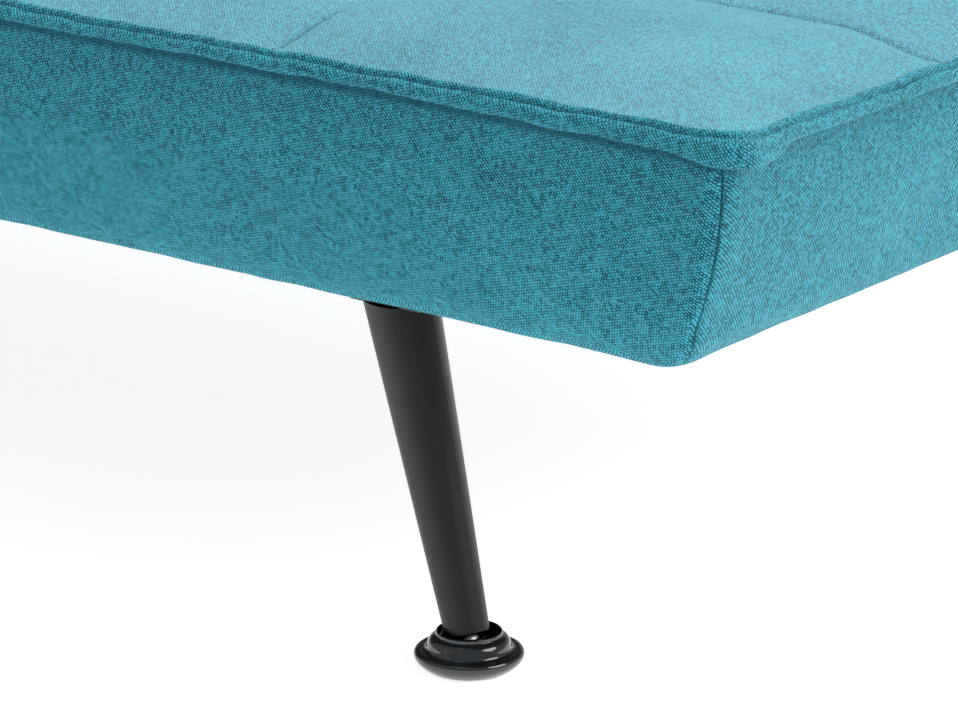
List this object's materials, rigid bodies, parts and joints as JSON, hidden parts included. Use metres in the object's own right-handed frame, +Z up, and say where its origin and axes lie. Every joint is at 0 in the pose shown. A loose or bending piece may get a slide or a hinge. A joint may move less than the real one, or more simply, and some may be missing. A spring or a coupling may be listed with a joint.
{
  "type": "futon sofa bed",
  "caption": "Armless click-clack futon sofa bed: padded seat, backrest that folds flat on ratchet hinges, splayed tapered legs with levelling feet.",
  "frame": {"origin": "on the floor, under the middle of the sofa's outline with the back upright", "axes": "+X to the right-hand end seen from the front, +Y to the back, +Z up; the front faces -Y"},
  "size_m": [1.83, 0.8807, 0.8453],
  "materials": {
    "upholstery": "matte",
    "foam": "matte",
    "lining": "matte",
    "zinc_steel": "satin",
    "frame_paint": "satin",
    "leg_paint": "satin",
    "glide_plastic": "gloss",
    "bumper_rubber": "matte",
    "plug_plastic": "matte",
    "slat_wood": "matte",
    "frame_wood": "matte"
  },
  "bodies": {
    "root": {"seat_cover": "upholstery", "seat_foam_pad": "foam", "seat_edge_foam": "foam", "seat_front_rail": "frame_wood", "seat_rear_rail": "frame_wood", "seat_right_end_rail": "frame_wood", "seat_left_end_rail": "frame_wood", "seat_right_brace": "frame_wood", "seat_left_brace": "frame_wood", "seat_slats": "slat_wood", "seat_slat_caps": "plug_plastic", "seat_dust_cover": "lining", "front_cross_rail": "frame_paint", "middle_cross_rail": "frame_paint", "rear_cross_rail": "frame_paint", "frame_bolts": "zinc_steel", "right_bumper": "bumper_rubber", "left_bumper": "bumper_rubber", "right_side_rail": "frame_paint", "left_side_rail": "frame_paint", "front_right_leg": "leg_paint", "front_left_leg": "leg_paint", "rear_right_leg": "leg_paint", "rear_left_leg": "leg_paint", "leg_ball_studs": "zinc_steel", "rail_end_plugs": "plug_plastic", "leg_bolts": "zinc_steel", "right_seat_hinge_plate": "zinc_steel", "left_seat_hinge_plate": "zinc_steel", "right_hinge_pivot_pin": "zinc_steel", "left_hinge_pivot_pin": "zinc_steel", "hinge_washers": "zinc_steel", "pawl_pins": "zinc_steel", "right_pawl_spring": "zinc_steel", "left_pawl_spring": "zinc_steel", "seat_hinge_bolts": "zinc_steel"},
    "backrest": {"back_cover": "upholstery", "back_foam_pad": "foam", "back_edge_foam": "foam", "back_top_rail": "frame_wood", "back_bottom_rail": "frame_wood", "back_right_end_rail": "frame_wood", "back_left_end_rail": "frame_wood", "back_right_brace": "frame_wood", "back_left_brace": "frame_wood", "back_slats": "slat_wood", "back_slat_caps": "plug_plastic", "back_rear_panel": "lining", "right_back_hinge_plate": "zinc_steel", "left_back_hinge_plate": "zinc_steel", "back_hinge_bolts": "zinc_steel"},
    "right_pawl": {"right_hinge_pawl": "zinc_steel"},
    "left_pawl": {"left_hinge_pawl": "zinc_steel"},
    "front_right_glide": {"front_right_foot": "glide_plastic"},
    "front_left_glide": {"front_left_foot": "glide_plastic"},
    "rear_right_glide": {"rear_right_foot": "glide_plastic"},
    "rear_left_glide": {"rear_left_foot": "glide_plastic"}
  },
  "joints": [
    {"name": "backrest_recline", "type": "hinge", "parent": "root", "child": "backrest", "pos_m": [0, 0.20164, 0.336], "axis": [-1, 0, 0], "range_deg": [-10, 75]},
    {"name": "right_pawl_lift", "type": "hinge", "parent": "root", "child": "right_pawl", "pos_m": [0.8285, 0.19964, 0.294], "axis": [1, 0, 0], "range_deg": [0, 16], "stiffness_Nm_per_rad": 0.05, "springref_deg": -17.19},
    {"name": "left_pawl_lift", "type": "hinge", "parent": "root", "child": "left_pawl", "pos_m": [-0.8285, 0.19964, 0.294], "axis": [1, 0, 0], "range_deg": [0, 16], "stiffness_Nm_per_rad": 0.05, "springref_deg": -17.19},
    {"name": "front_right_glide_tilt", "type": "hinge", "parent": "root", "child": "front_right_glide", "pos_m": [0.683, -0.35636, 0.015], "axis": [0, 1, 0], "range_deg": [-3, 3]},
    {"name": "front_left_glide_tilt", "type": "hinge", "parent": "root", "child": "front_left_glide", "pos_m": [-0.683, -0.35636, 0.015], "axis": [0, 1, 0], "range_deg": [-3, 3]},
    {"name": "rear_right_glide_tilt", "type": "hinge", "parent": "root", "child": "rear_right_glide", "pos_m": [0.683, 0.38764, 0.015], "axis": [0, 1, 0], "range_deg": [-3, 3]},
    {"name": "rear_left_glide_tilt", "type": "hinge", "parent": "root", "child": "rear_left_glide", "pos_m": [-0.683, 0.38764, 0.015], "axis": [0, 1, 0], "range_deg": [-3, 3]}
  ]
}
